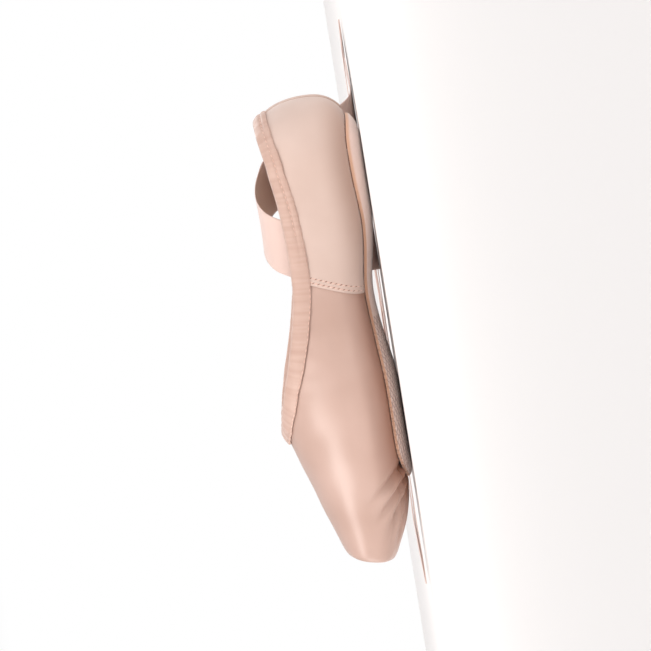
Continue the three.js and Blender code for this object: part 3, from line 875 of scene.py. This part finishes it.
def makeSeamStitches():
    look = seamStitch
    alongSeam = Vector((-seamRun, 0, seamDrop)).normalized()
    threads, holes = ([], [], []), ([], [], [])
    for side in (1, -1):
        for rowNumber, back in enumerate(seamRows):
            count = int((look["to"] - look["from"]) / look["pitch"])
            for k in range(count + 1):
                for half, target in ((0, threads), (0.5, holes)):
                    z = look["from"] + (k + half + look["rowShift"] * rowNumber) * look["pitch"]
                    seamAlong = seam["topAlong"] + (seam["topHeight"] - z) * seamRun / seamDrop
                    x = seamAlong - back * math.hypot(seamRun, seamDrop) / seamDrop
                    start = Vector((alongShoe(x), side * 0.1, z * mm))
                    hit, facing, _, _ = quarterTree.ray_cast(start, Vector((0, -side, 0)))
                    if hit is None:
                        continue
                    turn = Matrix.Rotation(math.radians(look["slant"]) * side, 3, facing)
                    target[0].append(hit)
                    target[1].append(facing)
                    target[2].append(turn @ alongSeam)
    makeStitches("seamThread", *threads, look["length"] * mm, look["width"] * mm, look["height"] * mm,
                 thread, "satin")
    # Dark pods of painted shade between the stitches, where the needle holes are.
    makeStitches("seamHoles", *holes, look["holeLength"] * mm, look["holeWidth"] * mm,
                 look["holeHeight"] * mm, needleHoleShade, "satin")


# Each row of stitches: its column of the binding's grid, and where along the shoe it begins and ends.
bindingStitch = {"pitch": 2.6, "length": 1.7, "width": 0.4, "height": 0.34,
                 "rows": [("edgeThread", 1.6, 88, 200), ("creaseThread", 3.6, -5, 62)]}


def makeBindingStitches():
    look = bindingStitch
    for name, row, reachFrom, reachTo in look["rows"]:
        low = int(row)
        path = bindingGrid[:, low] * (1 - row + low) + bindingGrid[:, low + 1] * (row - low)
        path = np.concatenate([path, path[:1]])
        strides = np.linalg.norm(np.diff(path, axis=0), axis=1)
        arrived = np.concatenate([[0], np.cumsum(strides)])
        spots, facings, directions = [], [], []
        for distance in np.arange(0, arrived[-1], look["pitch"] * mm):
            i = min(int(np.searchsorted(arrived, distance, side="right")) - 1, len(strides) - 1)
            share = (distance - arrived[i]) / strides[i]
            spot = path[i] * (1 - share) + path[i + 1] * share
            if not reachFrom < (spot[0] - heelBack) / mm < reachTo:
                continue
            hit, facing, _, _ = bindingTree.find_nearest(Vector(spot))
            spots.append(hit)
            facings.append(facing)
            directions.append(path[i + 1] - path[i])
        makeStitches(name, spots, facings, directions, look["length"] * mm, look["width"] * mm,
                     look["height"] * mm, thread, "tape")


makeSeamStitches()
makeBindingStitches()
print("stitches made")


# The seam up the back of the heel. Its section is given as distance aside and rise above the cloth.
heelSeamLook = {"section": [(-2.7, -0.3), (-2.5, 0.35), (-1.2, 0.6), (-0.3, 0.5), (0, 0.15),
                            (0.3, 0.5), (1.2, 0.6), (2.5, 0.35), (2.7, -0.3), (0, -0.4)],
                "from": 7.5, "to": 44.5, "steps": 60, "heelRadius": 26, "soleTop": 4}


def makeHeelSeam():
    look = heelSeamLook
    rings = []
    for k in range(look["steps"] + 1):
        z = look["from"] + (look["to"] - look["from"]) * k / look["steps"]
        hit, facing, _, _ = quarterTree.ray_cast(Vector((alongShoe(-20), 0, z * mm)), Vector((1, 0, 0)))
        if hit is None:
            continue
        facing = Vector((facing.x, 0, facing.z)).normalized()
        ring = []
        for aside, rise in look["section"]:
            wrap = aside ** 2 / (2 * look["heelRadius"])
            ring.append(hit + facing * (rise * mm) + Vector((wrap * mm, aside * mm, 0)))
        rings.append(ring)
    grid = np.array(rings)
    piece = gridPiece("heelSeam", grid[::-1], closed=False)
    shell = bmesh.new()
    shell.from_mesh(piece.data)
    bmesh.ops.holes_fill(shell, edges=shell.edges[:], sides=0)
    bmesh.ops.recalc_face_normals(shell, faces=shell.faces[:])
    shell.to_mesh(piece.data)
    shell.free()
    addVertexValues(piece, "fromSole", points(piece)[:, 2] / mm - look["soleTop"])
    piece.data.materials.append(stretchSatin)
    smooth(piece)
    register(piece, "satin")


# Past floorSide and under floorHeight, a ribbon lies on the floor.
ribbonLook = {"width": 25, "thickness": 0.35, "across": 8, "mostRings": 400, "waveHeight": 0.9,
              "floorSide": (-52, -62), "floorHeight": (4, 8)}


def layRibbon(nodeName):
    look = ribbonLook
    grid = readRings(nodeName, look["mostRings"], ribbonEnd)
    left, right = (grid[:, 0] + grid[:, 1]) / 2, (grid[:, 2] + grid[:, 3]) / 2
    shares = np.linspace(0, 1, look["across"] + 1)[None, :, None]
    rows = left[:, None] * (1 - shares) + right[:, None] * shares
    count, size = rows.shape[:2]
    faces = [(i * size + j, i * size + j + 1, (i + 1) * size + j + 1, (i + 1) * size + j)
             for i in range(count - 1) for j in range(size - 1)]
    piece = newPiece(nodeName + "Cloth", rows.reshape(-1, 3), faces)
    strides = np.linalg.norm(np.diff((left + right) / 2, axis=0), axis=1)
    arrived = np.concatenate([[0], np.cumsum(strides)])
    sideways = np.linspace(0, look["width"] * mm, size)
    uvs = piece.data.uv_layers.new(name="run")
    flat = []
    for i in range(count - 1):
        for j in range(size - 1):
            flat += [arrived[i], sideways[j], arrived[i], sideways[j + 1],
                     arrived[i + 1], sideways[j + 1], arrived[i + 1], sideways[j]]
    uvs.data.foreach_set("uv", flat)
    subdivide(piece, 2)
    places = points(piece)
    x, y, z = places[:, 0] / mm, places[:, 1] / mm, places[:, 2] / mm
    onFloor = ramp(*look["floorSide"], y) * (1 - ramp(*look["floorHeight"], z))
    places[:, 2] += look["waveHeight"] * mm * onFloor * (0.5 + 0.5 * np.sin(x / 13 + y / 21)) ** 2
    places[:, 2] = np.maximum(places[:, 2], look["thickness"] / 2 * mm)
    setPoints(piece, places)
    applyModifier(piece, "SOLIDIFY", thickness=look["thickness"] * mm, offset=0.0)
    piece.data.materials.append(ribbonWeave)
    smooth(piece)
    register(piece, "ribbon", nodeName)


makeHeelSeam()
layRibbon("ribbon_right")
layRibbon("ribbon_left")
print("heel seam and ribbons made")
